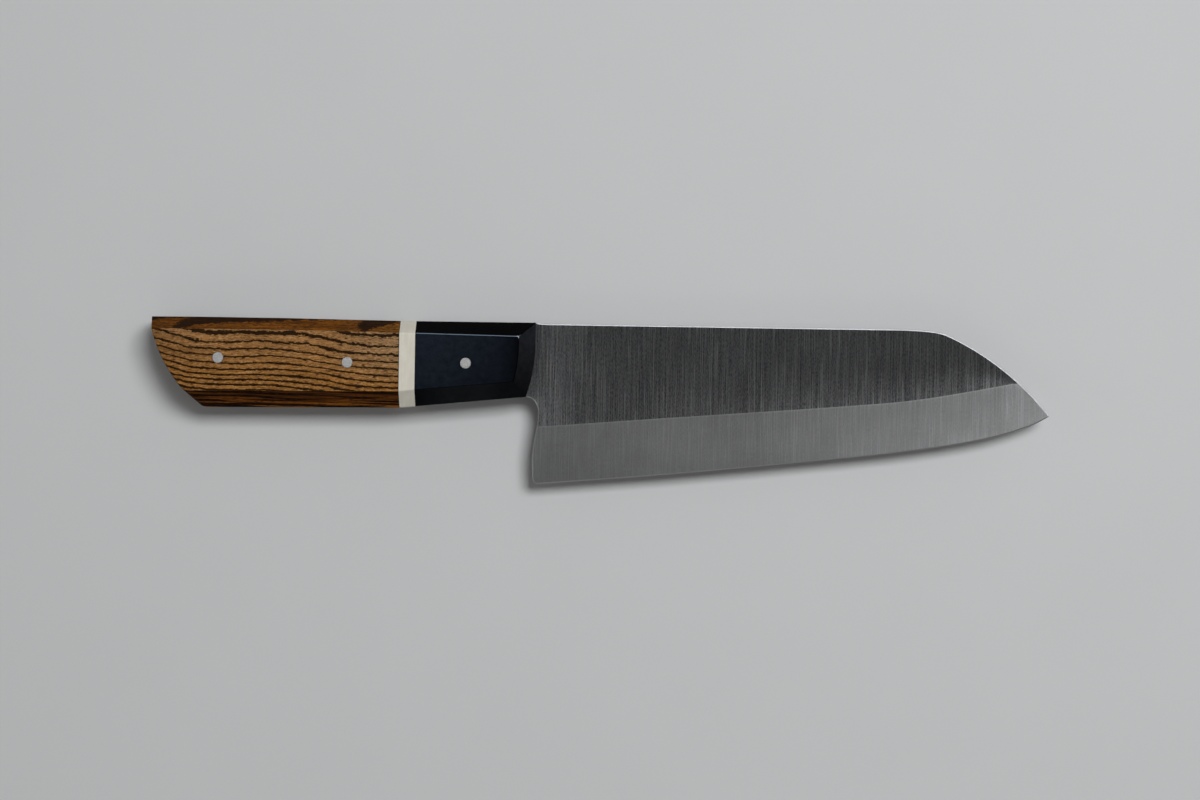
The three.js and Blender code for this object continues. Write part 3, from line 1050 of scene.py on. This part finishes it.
def turnedPin(name, node, material):
    low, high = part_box(node)
    centre = pinPlaces[node]
    radius = (high.x - low.x) / 2
    halfLength = (high.z - low.z) / 2
    chamfer, dome, rings = pinShape["chamfer"] * mm, pinShape["dome"] * mm, pinShape["domeRings"]
    face = radius - chamfer
    cap = [(face * k / rings, halfLength + dome * (1 - (k / rings) ** 2)) for k in range(1, rings + 1)]
    profile = cap + [(radius, halfLength - chamfer)]
    profile += [(r, -z) for r, z in reversed(profile)]
    turns = [2 * math.pi * k / pinShape["sides"] for k in range(pinShape["sides"])]
    bm = bmesh.new()
    loops = []
    for r, z in profile:
        ring = [(centre.x + r * math.cos(a), centre.y + r * math.sin(a), centre.z + z) for a in turns]
        loops.append([bm.verts.new(p) for p in ring])
    poles = [bm.verts.new((centre.x, centre.y, centre.z + end * (halfLength + dome))) for end in (1, -1)]
    for a, b in zip(loops, loops[1:]):
        for k in range(len(a)):
            nextK = (k + 1) % len(a)
            bm.faces.new((a[k], a[nextK], b[nextK], b[k]))
    for pole, loop in zip(poles, (loops[0], loops[-1])):
        for k in range(len(loop)):
            bm.faces.new((pole, loop[k], loop[(k + 1) % len(loop)]))
    bmesh.ops.recalc_face_normals(bm, faces=bm.faces)
    markSharp(bm, pinShape["creaseAngle"])
    return makePiece(name, bm, [material], node)


# Build the knife

blade = bladeSteel()
print("blade:", len(blade.data.polygons), "faces")

wood, black, ivory = woodMaterial(), bolsterMaterial(), spacerMaterial()
epoxy, pinSteel = epoxyMaterial(), pinMaterial()
for side in ("Right", "Left"):
    part = side.lower()
    easedBlock("bolster" + side, "bolster_" + part, black)
    easedBlock("spacer" + side, "spacer_" + part, ivory)
    easedBlock("gripScale" + side, "grip_scale_" + part, wood)
    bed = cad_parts["epoxy_bed_" + part]
    bed.data.materials.clear()
    bed.data.materials.append(epoxy)
print("handle blocks eased")

for name, node in pinPieces.items():
    turnedPin(name, node, pinSteel)
print("pins turned")


# Floor, light and camera

studio = {
    "floorSize": 6.0, "floorDrop": 0.15,  # m, mm below the knife
    "floorColor": (0.64, 0.64, 0.635), "floorShades": (0.985, 1.015), "floorRoughness": 0.85,
    "floorNoises": {"mottle": ((0.02, 0.02, 0.02), 4.0, 0.6), "grain": ((1.2, 1.2, 1.2), 3.0, 0.6)},
    "mottleShare": 0.6,
    # lamps: degrees off the upright in X and Y, then metres, watts; the steel mirrors the wide dim panel
    # and not the strong key, which would burn it out
    "key": {
        "aim": (18, 18.5), "distance": 1.5, "size": (0.62, 0.46), "power": 15.5,
        "color": (0.96, 0.98, 1.0), "glossy": False,
    },
    "panel": {
        "aim": (14, 31), "distance": 1.5, "size": (2.2, 1.0), "power": 16.0,
        "color": (0.96, 0.98, 1.0), "diffuse": False,
    },
    "fill": {"aim": (-62, -35), "distance": 1.5, "size": (0.6, 1.6), "power": 1.5},
    "front": {"aim": (0, -45), "distance": 1.6, "size": (1.8, 0.4), "power": 0.9},
    "strip": {"aim": (25, -7), "distance": 1.7, "size": (0.9, 0.26), "power": 0.66},
    "sky": ((0.0, 0.04), (0.3, 0.09), (0.7, 0.08), (0.94, 0.068), (1.0, 0.075)),  # height, brightness
    "glow": (0.55, 0.95, 0.0, 0.21),  # added low in front of the knife and behind it
}


def floorPlane():
    material, tree, shader = newMaterial("pale_floor")
    noise = noisesAt(millimetres(tree), studio["floorNoises"])
    mottle = blend(noise["mottle"], noise["grain"], studio["mottleShare"])
    color = shaded(studio["floorColor"], spread(mottle, *studio["floorShades"]))
    paint(shader, color, studio["floorRoughness"])
    half = studio["floorSize"] / 2
    z = -studio["floorDrop"] * mm
    bm = bmesh.new()
    corners = ((-half, -half, z), (half, -half, z), (half, half, z), (-half, half, z))
    bm.faces.new([bm.verts.new(p) for p in corners])
    mesh = bpy.data.meshes.new("floor")
    bm.to_mesh(mesh)
    bm.free()
    mesh.materials.append(material)
    floor = bpy.data.objects.new("floor", mesh)
    bpy.context.scene.collection.objects.link(floor)


def softLight(name):
    setting = studio[name]
    light = bpy.data.lights.new(name, "AREA")
    light.shape = "RECTANGLE"
    light.size, light.size_y = setting["size"]
    light.energy = setting["power"]
    light.color = setting.get("color", (1.0, 1.0, 1.0))
    lamp = bpy.data.objects.new(name, light)
    lamp.visible_glossy = setting.get("glossy", True)
    lamp.visible_diffuse = setting.get("diffuse", True)
    tiltX, tiltY = (math.radians(a) for a in setting["aim"])
    away = Vector((math.tan(tiltX), math.tan(tiltY), 1)).normalized()
    lamp.location = away * setting["distance"]
    xAxis = (Vector((1, 0, 0)) - away * away.x).normalized()
    lamp.rotation_euler = Matrix((xAxis, away.cross(xAxis), away)).transposed().to_euler()
    bpy.context.scene.collection.objects.link(lamp)


def studioWorld():
    world = bpy.data.worlds.new("studio")
    world.use_nodes = True
    tree = world.node_tree
    tree.nodes.clear()
    way = parts(add(tree, "TexCoord").outputs["Generated"])
    ramp = join("ValToRGB", {"Fac": way["Z"]})
    stops = studio["sky"]
    elements = ramp.color_ramp.elements
    for at, value in stops[1:-1]:
        elements.new(at).color = (value, value, value, 1)
    for end in (0, -1):
        elements[end].color = (stops[end][1],) * 3 + (1,)
    glow = softly(absolute(way["Y"]), *studio["glow"])
    bright = mixColor(1.0, ramp.outputs["Color"], grey(glow), "ADD")
    background = join("Background", {"Color": bright, "Strength": 1.0})
    output = add(tree, "OutputWorld")
    tree.links.new(background.outputs[0], output.inputs["Surface"])
    bpy.context.scene.world = world


# Looking straight down at the right side, turned by the photograph's small tilt: mm, degrees
cameraSetting = {"lens": 70.0, "sensor": 36.0, "height": 755.7, "centre": (-0.41, 1.26), "roll": 0.88}


def topCamera():
    lensData = bpy.data.cameras.new("topCamera")
    lensData.lens = cameraSetting["lens"]
    lensData.sensor_width = cameraSetting["sensor"]
    lensData.clip_start, lensData.clip_end = 0.01, 100
    camera = bpy.data.objects.new("topCamera", lensData)
    x, y = cameraSetting["centre"]
    camera.location = Vector((x, y, cameraSetting["height"])) * mm
    camera.rotation_euler = (0, 0, math.radians(cameraSetting["roll"]))
    bpy.context.scene.collection.objects.link(camera)
    bpy.context.scene.camera = camera


floorPlane()
for name in ("key", "panel", "fill", "front", "strip"):
    softLight(name)
studioWorld()
topCamera()
bpy.context.scene.view_settings.view_transform = "Standard"
print("studio set")
